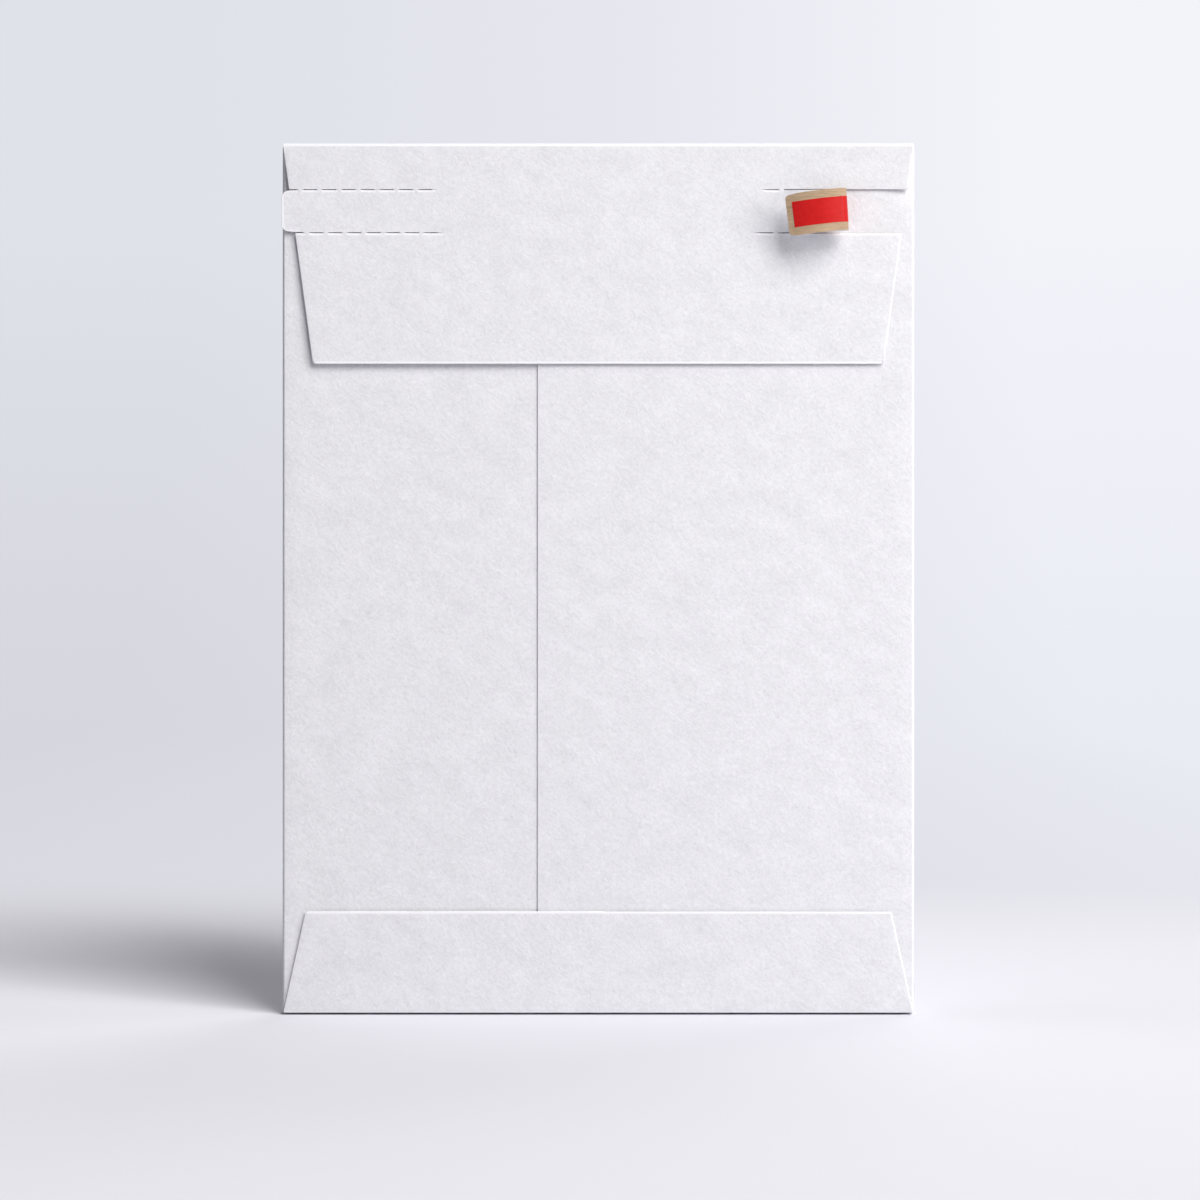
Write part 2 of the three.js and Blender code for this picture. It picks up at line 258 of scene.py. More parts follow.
def weighted_sum(tree, terms):
    """The sum of several shader values, each times its weight."""
    total = 0.0
    for value, weight in terms:
        total = node(
            tree, "ShaderNodeMath", {0: value, 1: weight, 2: total}, operation="MULTIPLY_ADD"
        ).outputs["Value"]
    return total


def paper_shader(tree, output, height, shade, colours, roughness, relief,
                 worn_and_highlit_colour=None, specular=PAPER_SPECULAR):
    """A paper surface whose colour and relief both follow its fibres, painted lighter along its
    edges and creases, partly for scuffed fibres and partly as a painted highlight.
    """
    ramp = node(tree, "ShaderNodeValToRGB", {"Fac": shade})
    for element, position, colour in zip(ramp.color_ramp.elements, RAMP_ENDS, colours):
        element.position = position
        element.color = curve_colour(colour)
    surface = ramp.outputs["Color"]
    # The lighter colour along edges and creases is partly scuffed fibre and partly painted
    # highlight.
    if worn_and_highlit_colour:
        wear_and_highlight = node(tree, "ShaderNodeAttribute", attribute_name="worn_and_highlit").outputs["Fac"]
        surface = node(
            tree, "ShaderNodeMix",
            {"Factor": wear_and_highlight, MIX_A: surface, MIX_B: curve_colour(worn_and_highlit_colour)},
            data_type="RGBA",
        ).outputs[MIX_RESULT]
    bump = node(
        tree, "ShaderNodeBump", {"Height": height, "Distance": relief, "Strength": 1.0}
    )
    shader = node(
        tree, "ShaderNodeBsdfPrincipled",
        {"Base Color": surface, "Roughness": roughness, "IOR": PAPER_IOR,
         "Specular IOR Level": specular, "Normal": bump.outputs["Normal"]},
    )
    tree.links.new(shader.outputs["BSDF"], output.inputs["Surface"])


def white_fibre_board():
    """Bleached fibre board, calendered: matt white, with fine wavy fibres pressed into the face.

    Real fibres are some 0.03 mm wide, too fine to show in the render, so each streak stands for
    a clump of them about 2 mm wide.
    """
    material, tree, output = new_material("white_fibre_board")
    blank = node(tree, "ShaderNodeUVMap", uv_map="blank").outputs["UV"]
    long_fibres = fibres(tree, blank, 6.0 * MM, 2.3 * MM, angle=-36, distortion=2.4)
    steep_fibres = fibres(tree, blank, 4.2 * MM, 1.9 * MM, angle=-76, distortion=2.2)
    cross_fibres = fibres(tree, blank, 3.6 * MM, 1.6 * MM, angle=24, distortion=2.0)
    hairs = fibres(
        tree, blank, 6.5 * MM, 2.1 * MM, angle=-40, distortion=2.2, detail=1.0,
        kind="RIDGED_MULTIFRACTAL",
    )
    grain = fibres(tree, blank, 1.3 * MM, 1.3 * MM, distortion=0.6, detail=3.0)
    clouds = fibres(tree, blank, 14 * MM, 9 * MM, angle=-30)
    fibre_kinds = (long_fibres, steep_fibres, cross_fibres)
    height = weighted_sum(
        tree, (*zip(fibre_kinds, (0.46, 0.38, 0.4)), (hairs, 0.07), (grain, 0.3))
    )
    shade = weighted_sum(
        tree, (*zip(fibre_kinds, (0.21, 0.18, 0.17)), (clouds, 0.2), (grain, 0.24))
    )
    # The lighter colour is painted on cut edges and creases: partly scuffed fibre, partly painted
    # highlight.
    paper_shader(
        tree, output, height, shade, ("#d9d9dd", "#efeff3"), roughness=0.72, relief=0.13 * MM,
        worn_and_highlit_colour="#f8f8fc",
    )
    return material


def cut_board_edge_with_highlight():
    """The same board where the die has cut it, and on the board's rounded edges: loose white
    fibres, lighter than the face, partly for the fibres and partly as a painted highlight.

    Their fuzz is finer than 0.1 mm and is drawn at 0.6 mm, so that it shows.
    """
    material, tree, output = new_material("cut_board_edge_with_highlight")
    place = node(tree, "ShaderNodeTexCoord").outputs["Object"]
    fuzz = fibres(tree, place, 0.6 * MM, 0.6 * MM)
    paper_shader(
        tree, output, fuzz, fuzz, ("#f2f2f6", "#fafafd"), roughness=0.85, relief=0.05 * MM
    )
    return material


def brown_kraft_paper():
    """Unbleached kraft lining: matt brown, with streaks along the strip and darker shives.

    Its fibres are as fine as the board's, so bundles 0.35 to 0.6 mm wide stand for them.
    """
    material, tree, output = new_material("brown_kraft_paper")
    blank = node(tree, "ShaderNodeUVMap", uv_map="blank").outputs["UV"]
    streaks = fibres(tree, blank, 7 * MM, 0.6 * MM, angle=6, distortion=0.4)
    shives = fibres(tree, blank, 2.5 * MM, 0.35 * MM, angle=-14, distortion=0.6)
    grain = fibres(tree, blank, 0.4 * MM, 0.4 * MM)
    height = weighted_sum(tree, ((streaks, 0.5), (shives, 0.3), (grain, 0.2)))
    shade = weighted_sum(tree, ((streaks, 0.55), (shives, 0.3), (grain, 0.15)))
    paper_shader(
        tree, output, height, shade, ("#a58c71", "#c3a98b"), roughness=0.8, relief=0.1 * MM
    )
    return material


def red_tear_film():
    """Polypropylene tear tape, extruded: smooth red film, with faint drawing lines along it.

    Real drawing lines are under 0.1 mm apart and are drawn at 0.5 mm, so that they show.
    """
    material, tree, output = new_material("red_tear_film")
    blank = node(tree, "ShaderNodeUVMap", uv_map="blank").outputs["UV"]
    lines = fibres(tree, blank, 30 * MM, 0.5 * MM)
    mottle = fibres(tree, blank, 3 * MM, 1.5 * MM, angle=20)
    height = weighted_sum(tree, ((lines, 0.6), (mottle, 0.4)))
    paper_shader(
        tree, output, height, mottle, ("#c31c1c", "#ca2020"), roughness=0.4, relief=0.03 * MM,
        specular=0.14,
    )
    return material


def dried_glue(name, colours, roughness):
    """Glue that has set on the board: faintly yellow, in uneven blobs of some 4 mm."""
    material, tree, output = new_material(name)
    place = node(tree, "ShaderNodeTexCoord").outputs["Object"]
    blobs = fibres(tree, place, 4 * MM, 4 * MM)
    paper_shader(tree, output, blobs, blobs, colours, roughness, relief=0.05 * MM)
    return material


board_material = white_fibre_board()
cut_edge_and_highlight_material = cut_board_edge_with_highlight()
kraft_material = brown_kraft_paper()
tape_material = red_tear_film()


def subdivided(stops, step):
    """The stops with evenly spaced values between them, no further apart than the step."""
    parts = [
        np.linspace(a, b, max(math.ceil(abs(b - a) / step), 1) + 1)[:-1]
        for a, b in zip(stops[:-1], stops[1:])
    ]
    return np.concatenate(parts + [np.array(stops[-1:])])


def sheet(name, across, along, place, keep=None, joined=None, softness=None, worn_and_highlit=None,
          materials=None, blank=None, rounding=EDGE_ROUNDING, depth=BOARD):
    """A sheet of even thickness as a closed solid.

    Its outer face is the surface place(a, b, 0) over the grid across x along, its inner face is
    place(a, b, depth), and a wall joins the two along every edge of the kept cells. The walls are
    rounded towards the outer face by softness(a, b), a share from 0 to 1, and not at all where
    joined(a, b) holds, because there the sheet carries on in another piece. A further function of
    (a, b) says how much lighter the surface is painted, partly for scuffed fibres and partly as a
    painted highlight along cut edges and creases, and the last material, which is painted lighter
    too, is that of the rounded edges. blank(a, b) gives the fibres' coordinates, which are a and b
    themselves where it is left out.
    """
    a, b = np.meshgrid(across, along, indexing="ij")
    rows, columns = len(across) - 1, len(along) - 1
    if keep is None:
        keep = np.ones((rows, columns), bool)
    points = np.concatenate([np.stack(place(a, b, w), -1).reshape(-1, 3) for w in (0.0, depth)])
    layer = a.size
    index = np.arange(layer).reshape(a.shape)
    corners = np.stack([index[:-1, :-1], index[1:, :-1], index[1:, 1:], index[:-1, 1:]], -1)
    faces = [corners[keep], corners[keep][:, ::-1] + layer]
    padded = np.pad(keep, 1)
    rounded, roundness = [], []
    sides = (((-1, 0), (3, 0)), ((1, 0), (1, 2)), ((0, -1), (0, 1)), ((0, 1), (2, 3)))
    for (da, db), (first, second) in sides:
        neighbour = padded[1 + da:1 + da + rows, 1 + db:1 + db + columns]
        open_side = corners[keep & ~neighbour]
        p, q = open_side[:, first], open_side[:, second]
        faces.append(np.stack([q, p, p + layer, q + layer], -1))
        mid_a = (a.ravel()[p] + a.ravel()[q]) / 2
        mid_b = (b.ravel()[p] + b.ravel()[q]) / 2
        weight = np.ones(len(p)) if softness is None else softness(mid_a, mid_b)
        if joined is not None:
            weight = np.where(joined(mid_a, mid_b), 0, weight)
        rounded.append(np.stack([p, q], -1))
        roundness.append(weight)
    used, faces = np.unique(np.concatenate(faces), return_inverse=True)
    mesh = bpy.data.meshes.new(name)
    mesh.from_pydata(points[used].tolist(), [], faces.reshape(-1, 4).tolist())

    flat = (a, b) if blank is None else blank(a, b)
    flat = np.stack([part.ravel() for part in flat], -1)
    loop_points = np.zeros(len(mesh.loops), np.int32)
    mesh.loops.foreach_get("vertex_index", loop_points)
    uv = mesh.uv_layers.new(name="blank")
    uv.data.foreach_set("uv", flat[used % layer][loop_points].astype(np.float32).ravel())

    pair = np.array([len(used), 1])
    wanted = np.sort(np.searchsorted(used, np.concatenate(rounded)), 1) @ pair
    order = np.argsort(wanted)
    ends = np.zeros(len(mesh.edges) * 2, np.int32)
    mesh.edges.foreach_get("vertices", ends)
    keys = np.sort(ends.reshape(-1, 2), 1) @ pair
    found = np.minimum(np.searchsorted(wanted[order], keys), len(wanted) - 1)
    weights = np.where(wanted[order][found] == keys, np.concatenate(roundness)[order][found], 0)
    weight_data = mesh.attributes.new("bevel_weight_edge", "FLOAT", "EDGE").data
    weight_data.foreach_set("value", weights.astype(np.float32))

    wear_and_highlight = np.zeros(a.shape) if worn_and_highlit is None else worn_and_highlit(a, b)
    wear_and_highlight_data = mesh.attributes.new("worn_and_highlit", "FLOAT", "POINT").data
    wear_and_highlight_data.foreach_set("value", wear_and_highlight.ravel()[used % layer].astype(np.float32))

    turn_outwards(mesh)
    mesh.shade_smooth()
    mesh.set_sharp_from_angle(angle=SMOOTH_ANGLE)
    for material in materials or (board_material, cut_edge_and_highlight_material):
        mesh.materials.append(material)
    piece = new_object(name, mesh)
    bevel = piece.modifiers.new("soft_edge", "BEVEL")
    bevel.limit_method = "WEIGHT"
    bevel.width = rounding
    bevel.segments = BEVEL_SEGMENTS
    bevel.loop_slide = False
    bevel.use_clamp_overlap = False
    bevel.material = len(mesh.materials) - 1
    bevel.harden_normals = True
    return piece


def turn_outwards(mesh):
    """Turns every face the other way where the closed mesh has a negative volume."""
    corners = np.zeros(len(mesh.loops), np.int32)
    mesh.loops.foreach_get("vertex_index", corners)
    points = np.zeros(len(mesh.vertices) * 3)
    mesh.vertices.foreach_get("co", points)
    quads = points.reshape(-1, 3)[corners.reshape(-1, 4)]
    fan = [(quads[:, 0], quads[:, 1], quads[:, 2]), (quads[:, 0], quads[:, 2], quads[:, 3])]
    volume = sum(np.einsum("ij,ij->", p, np.cross(q, r)) for p, q, r in fan)
    if volume < 0:
        mesh.flip_normals()


def folded_path(corners, radii, outward, step=PATH_STEP, arc_steps=ARC_STEPS):
    """A line through the corners whose inner corners are arcs.

    Gives the distance along it, the points and the outward normals. outward is 1 where the
    outside lies to the left of the way along, and -1 where it lies to the right.
    """
    corners = np.array(corners, float)
    points, headings = [corners[0]], []
    for before, corner, after, radius in zip(corners, corners[1:], corners[2:], radii):
        arriving = (corner - before) / np.linalg.norm(corner - before)
        leaving = (after - corner) / np.linalg.norm(after - corner)
        turn = math.atan2(arriving[0] * leaving[1] - arriving[1] * leaving[0], arriving @ leaving)
        tangent = radius * math.tan(abs(turn) / 2)
        start = corner - arriving * tangent
        straight = subdivided([0.0, float(np.linalg.norm(start - points[-1]))], step)[1:, None]
        points += list(points[-1] + arriving * straight)
        headings += [arriving] * (len(straight) + (0 if headings else 1))
        side = np.array([-arriving[1], arriving[0]]) * math.copysign(radius, turn)
        for share in np.arange(1, arc_steps + 1) / arc_steps:
            cos, sin = math.cos(turn * share), math.sin(turn * share)
            spin = np.array([[cos, -sin], [sin, cos]])
            points.append(start + side - spin @ side)
            headings.append(spin @ arriving)
    last = corners[-1] - points[-1]
    length = float(np.linalg.norm(last))
    straight = subdivided([0.0, length], step)[1:, None]
    points += list(points[-1] + last / length * straight)
    headings += [last / length] * len(straight)
    points, headings = np.array(points), np.array(headings)
    distance = np.concatenate([[0.0], np.cumsum(np.linalg.norm(np.diff(points, axis=0), axis=1))])
    normals = outward * np.stack([-headings[:, 1], headings[:, 0]], -1)
    return distance, points, normals


# Creases are painted lighter by this share, partly for cracked fibres and partly as a painted
# highlight.
def crease_wear_and_highlight(path, distance):
    """1 in the middle of each arc of a path, and 0 from its ends on."""
    stations, _, normals = path
    turning = np.linalg.norm(np.gradient(normals, axis=0), axis=1)
    turning = turning / np.where(turning > NEAR, turning.max(), 1.0)
    before, after = np.roll(turning, 1), np.roll(turning, -1)
    return np.interp(distance, stations, np.minimum(turning, np.minimum(before, after)) ** 0.5)


def on_path(path, distance, depth):
    """Both coordinates at a distance along a path, which is the middle line of a board, and at a
    depth under the outer face of that board."""
    stations, points, normals = path
    first, second, across, up = (
        np.interp(distance, stations, part) for part in (*points.T, *normals.T)
    )
    return first + across * (BOARD / 2 - depth), second + up * (BOARD / 2 - depth)


def gentle_wave(a, b, size):
    """The slight unevenness of a flat sheet: three sine waves 0.14 to 0.4 m long that cross."""
    return size * (
        0.5 * np.sin(a / 0.047 + 1.3) * np.cos(b / 0.061 + 0.4)
        + 0.3 * np.sin(a / 0.023 + b / 0.09 + 2.1)
        + 0.2 * np.sin(b / 0.031 - a / 0.12 + 0.7)
    )


def round_off(side, end, radius):
    """Moves points near a corner so that the corner is round.

    side and end are the distances from the two edges. The square of the given radius at the corner
    is mapped onto a quarter disc, by the ellipse formula x' = x sqrt(1 - y^2 / 2) and its mirror.
    """
    p = np.clip(1 - side / radius, 0, 1)
    q = np.clip(1 - end / radius, 0, 1)
    return (
        side + radius * p * (1 - np.sqrt(1 - q ** 2 / 2)),
        end + radius * q * (1 - np.sqrt(1 - p ** 2 / 2)),
    )


def pressed(distance):
    """How far a face recedes near a cut edge, by the square of the way into the pressed width."""
    return PRESSED_DEPTH * np.clip(1 - distance / PRESSED_WIDTH, 0, 1) ** 2


def lip_wear_and_highlight(distance):
    """How much lighter a cut edge is painted, partly for its scuffed fibres and partly as a
    painted highlight: fully at the edge, not at all past the pressed width.
    """
    return np.clip(LIP_WHITENESS_AND_HIGHLIGHT * (1 - distance / PRESSED_WIDTH), 0, 1)


def left_less_round(a, b):
    """The rounding of a crease's two ends, of which the left one is lit less and stays sharper."""
    return np.where(a < 0, LEFT_SHARE, 1.0)


def corner_stops(end, inwards, radius):
    """Stops from an edge inwards over the square of a rounded corner."""
    return [end + inwards * radius * i / CORNER_STEPS for i in range(CORNER_STEPS + 1)]


def stops_across(radius, step):
    """Stops from -1 to 1 across a sheet, with those of two corners whose radius is a share."""
    left, right = corner_stops(-1, 1, radius), corner_stops(1, -1, radius)
    return subdivided([*left, *right[::-1]], step)


# Sleeve: one sheet from the left leaf of the seam round to the right leaf

def side_corners(side, back_mid):
    """The three corners of a side wall seen from above, from the address side to the back."""
    half = (FRONT_MID - back_mid) / 2
    slope = math.atan2(SIDE_RIDGE, half)
    ridge = SIDE - BOARD / 2 + RIDGE_RADIUS * (1 / math.cos(slope) - 1)
    fold = ridge - SIDE_RIDGE
    return [(side * fold, FRONT_MID), (side * ridge, FRONT_MID - half), (side * fold, back_mid)]


def sleeve_path():
    """The sleeve seen from above, and the distances along it to both ends of the front panel."""
    left = side_corners(-1, LEFT_MID)[::-1]
    right = side_corners(1, RIGHT_MID)
    corners = [(left_high.x, LEFT_MID), *left, *right, (right_low.x, RIGHT_MID)]
    radii = [SIDE_FOLD_RADIUS, RIDGE_RADIUS, SIDE_FOLD_RADIUS] * 2
    path = folded_path(corners, radii, 1)
    distance, points, _ = path
    in_front = points[:, 1] > 0
    return path, np.interp([-PANEL_HALF, PANEL_HALF], points[in_front, 0], distance[in_front])


SLEEVE_PATH, FRONT_ENDS = sleeve_path()


def front_fibres(x):
    """The fibres' coordinate across the blank, on the front panel and what is folded from it."""
    return -(FRONT_ENDS[0] + PANEL_HALF + x)


def folded_sleeve():
    """The sheet follows a path seen from above and is drawn up to its height.

    The back has a groove with the section of a bell curve where the bottom flap's upper edge
    presses into it. Both upper corners are pinched in, by the square root of two ramps' product.
    """
    along = np.unique(np.concatenate([SLEEVE_PATH[0], FRONT_ENDS]))
    heights = subdivided(
        [PANEL_BOTTOM, SLEEVE_BOTTOM, SLEEVE_BOTTOM + EDGE_STEP,
         *(GROOVE_MIDDLE + GROOVE_WIDTH * GROOVE_ROWS), JOIN_LEVEL, SLEEVE_TOP],
        SLEEVE_STEP,
    )
    mid_a = (along[1:] + along[:-1])[:, None] / 2
    mid_b = (heights[1:] + heights[:-1])[None] / 2
    on_front = (mid_a > FRONT_ENDS[0]) & (mid_a < FRONT_ENDS[1])
    keep = np.where(on_front, mid_b < JOIN_LEVEL, mid_b > SLEEVE_BOTTOM)

    def place(a, b, w):
        x, y = on_path(SLEEVE_PATH, a, w)
        back = (y < 0) & (np.abs(x) < PANEL_HALF)
        inset = np.clip((PANEL_HALF - np.abs(x)) / BACK_MARGIN, 0, 1)
        y = y + back * inset * gentle_wave(x, b, BACK_WAVE)
        along_flap = np.clip((bottom_high.x - BOTTOM_FLAP_TAPER - np.abs(x)) / MM, 0, 1)
        bell = np.exp(-((b - GROOVE_MIDDLE) / GROOVE_WIDTH) ** 2)
        y = y + back * along_flap * GROOVE_DEPTH * bell
        outer = np.clip(1 - (SIDE - np.abs(x)) / PINCH_WIDTH, 0, 1)
        upper = np.clip(1 - (SLEEVE_TOP - b) / PINCH_HEIGHT, 0, 1)
        y = y + (y < 0) * PINCH_DEPTH * (outer * upper) ** 0.5 * np.clip(-y / PINCH_START, 0, 1)
        return x, y, b

    def joined(a, b):
        front = (a > FRONT_ENDS[0] - NEAR) & (a < FRONT_ENDS[1] + NEAR)
        return front & ((b < SLEEVE_BOTTOM) | (b > JOIN_LEVEL - NEAR))

    def softness(a, b):
        return np.where((a < NEAR) | (a > along[-1] - NEAR), SEAM_SHARE, 1.0)

    # The side folds are painted lighter at their creases, partly scuffed fibre and partly painted
    # highlight.
    piece = sheet(
        "folded_sleeve", along, heights, place, keep=keep, joined=joined, softness=softness,
        worn_and_highlit=lambda a, b: SIDE_FOLD_WEAR_AND_HIGHLIGHT * crease_wear_and_highlight(SLEEVE_PATH, a),
        blank=lambda a, b: (-a, b),
    )
    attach(piece, "sleeve")
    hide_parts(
        "front_panel", "left_side_wall", "right_side_wall", "left_back_panel",
        "right_back_panel",
    )


# Bottom: the flat wall that the envelope stands on, and the flap glued up over the back

def bottom_fold():
    """The sheet follows a path seen from the side and narrows towards the flap's upper edge."""
    corners = [
        (FRONT_MID, PANEL_BOTTOM),
        (FRONT_MID, BOARD / 2 - BOTTOM_SINK),
        (BOTTOM_FLAP_MID, BOARD / 2 + BOTTOM_RISE),
        (BOTTOM_FLAP_MID, BOTTOM_FLAP_TOP),
    ]
    path = folded_path(corners, [BOTTOM_FOLD_RADIUS, BOTTOM_RISE_RADIUS], 1)
    end = path[0][-1]
    flap_start = end - (BOTTOM_FLAP_TOP - PANEL_BOTTOM)
    widths = (BOTTOM_WALL_HALF, BOTTOM_WALL_HALF, bottom_high.x - BOTTOM_FLAP_TAPER)
    rows = corner_stops(end, -1, PRESSED_WIDTH)
    below = path[0][path[0] < rows[-1] - BOTTOM_GUARD]
    stations = np.concatenate([below, rows[::-1]])
    across = stops_across(PRESSED_WIDTH / widths[-1], ACROSS_STEP)

    def from_edges(a, b):
        """Half the width, and the distances from the side edge and from the upper edge."""
        half = np.interp(b, [0, flap_start, end], widths)
        return half, *round_off(half * (1 - np.abs(a)), end - b, BOTTOM_FLAP_CORNER)

    # Lighter along the creases and the flap's cut edges: partly scuffed fibre, partly painted
    # highlight.
    def worn_and_highlit(a, b):
        half, inset, short = from_edges(a, b)
        lips = (b > flap_start) * lip_wear_and_highlight(np.minimum(2 * inset, short))
        return np.maximum(crease_wear_and_highlight(path, b), lips)

    def place(a, b, w):
        half, inset, short = from_edges(a, b)
        x = np.sign(a) * (half - inset)
        y, z = on_path(path, end - short, w)
        y = y + (b > flap_start) * pressed(np.minimum(inset, short)) * (1 - w / BOARD)
        on_flap = np.clip((b - flap_start - BOTTOM_WAVE_START) / BOTTOM_WAVE_GROWTH, 0, 1)
        return x, y + on_flap * gentle_wave(x + BOTTOM_WAVE_SHIFT, b, BOTTOM_WAVE), z

    piece = sheet(
        "bottom_fold_and_flap", across, stations, place, joined=lambda a, b: b < NEAR,
        softness=left_less_round, worn_and_highlit=worn_and_highlit,
        blank=lambda a, b: (front_fibres(a * BOTTOM_WALL_HALF), PANEL_BOTTOM - b),
    )
    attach(piece, "sleeve")
    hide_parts("bottom_wall", "bottom_flap")


# Top creases: each piece runs from one panel over a crease to the middle of the top wall

def flap_edge(z):
    """Half the closing flap's width at a height, on the line through its upper and lower panel."""
    widening, drop = band_high.x - panel_high.x, band_high.z - panel_high.z
    return band_high.x + (z - band_high.z) * widening / drop


def crease_piece(name, corners, half_width, nodes, blank):
    """A sheet over one crease between two bodies, baked in place.

    blank(x, b, end) gives the fibres' coordinates at a distance b along the path of length end.
    """
    path = folded_path(corners, [TOP_FOLD_RADIUS], -1, CREASE_STEP, CREASE_ARC_STEPS)
    end = path[0][-1]

    def place(a, b, w):
        y, z = on_path(path, b, w)
        return a * half_width(y, z), y, z

    # Each crease is painted lighter, partly for cracked fibres and partly as a painted highlight.
    piece = sheet(
        name, subdivided([-1.0, 1.0], ACROSS_STEP), path[0], place,
        joined=lambda a, b: (b < NEAR) | (b > end - NEAR),
        softness=left_less_round, worn_and_highlit=lambda a, b: crease_wear_and_highlight(path, b),
        blank=lambda a, b: blank(place(a, b, 0)[0], b, end),
    )
    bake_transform(piece)
    if nodes:
        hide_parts(*nodes)


def top_creases():
    """The crease of the address side, then the crease of the closing flap."""
    reach, middle = TOP_FOLD_RADIUS, (TOP_WALL_HALFWAY, TOP_WALL_MID)
    crease_piece(
        "front_top_crease",
        [(FRONT_MID, JOIN_LEVEL), (FRONT_MID, TOP_WALL_MID), middle],
        lambda y, z: np.where(z < SLEEVE_TOP, PANEL_HALF, top_high.x),
        ["top_wall"],
        lambda x, b, end: (front_fibres(x), JOIN_LEVEL + b),
    )
    crease_piece(
        "flap_top_crease",
        [middle, (FLAP_MID, TOP_WALL_MID), (FLAP_MID, JOIN_LEVEL)],
        lambda y, z: flap_edge(z),
        [],
        lambda x, b, end: (x, JOIN_LEVEL + end - b),
    )


# Closing flap, with its perforation slits and the open slot of the torn strip

def column_reach(z):
    """How much shorter the way from STEADY to the flap's edge is at a height than at the top."""
    return (flap_edge(z) - STEADY) / (flap_edge(TOP) - STEADY)


def flap_x(c, z):
    """The place across the flap of a column c, which slants with the flap's edge past STEADY."""
    slanted = STEADY + (np.abs(c) - STEADY) * column_reach(z)
    return np.sign(c) * np.where(np.abs(c) < STEADY, np.abs(c), slanted)


def flap_column(x, z):
    """The column that passes through x at the height z, the inverse of flap_x past STEADY."""
    return math.copysign(STEADY + (abs(x) - STEADY) / column_reach(z), x)


TEAR_COLUMN = flap_column(TEAR_FRONT, STRIP_MIDDLE)
TAB_COLUMN = flap_column(-TAB_JOIN, STRIP_MIDDLE)


def slits(z):
    """Start and end of each slit along the line at height z, from the left edge to the right."""
    edge = flap_edge(z)
    starts = edge - FIRST_SLIT - SLIT_TIE - np.arange(SLITS_PER_END) * (SLIT_LENGTH + SLIT_TIE)
    pairs = [(edge + PAST_EDGE, edge - FIRST_SLIT), *[(s, s - SLIT_LENGTH) for s in starts]]
    return [(-a, -b) for a, b in pairs] + [(b, a) for a, b in pairs[::-1]]


def in_slits(x, line, margin=0.0):
    """Whether x lies in a slit along the line at that height, give or take a margin."""
    return np.any([(x > a - margin) & (x < b + margin) for a, b in slits(line)], axis=0)


def flap_lift(x, z):
    """How far the closed flap stands off: a power of the way down from the crease, times a
    logistic step that falls from left to right."""
    down = np.clip((LIFT_START - z) / (LIFT_START - FLAP_BOTTOM), 0, 1)
    step = 1 / (1 + np.exp((x - LIFT_HALFWAY) / LIFT_SPREAD))
    return FLAP_LIFT * down ** LIFT_POWER * (LIFT_LEAST + (1 - LIFT_LEAST) * step)


def flap_columns():
    """Columns at the corners, at each slit's ends, in each tie, and at both ends of the strip."""
    stops = {-STEADY, STEADY, TEAR_COLUMN, TAB_COLUMN}
    for side in (-1, 1):
        stops |= set(corner_stops(side * flap_edge(TOP), -side, FLAP_CORNER))
    for z in (STRIP_TOP, STRIP_BOTTOM):
        ends = sorted(v for pair in slits(z) for v in pair)
        stops |= {flap_column(v, z) for v in ends if abs(v) < flap_edge(z)}
        gaps = zip(ends[1:-1:2], ends[2:-1:2])
        stops |= {flap_column((a + b) / 2, z) for a, b in gaps if b - a < 2 * SLIT_TIE}
    return subdivided(sorted(stops), FLAP_STEP)


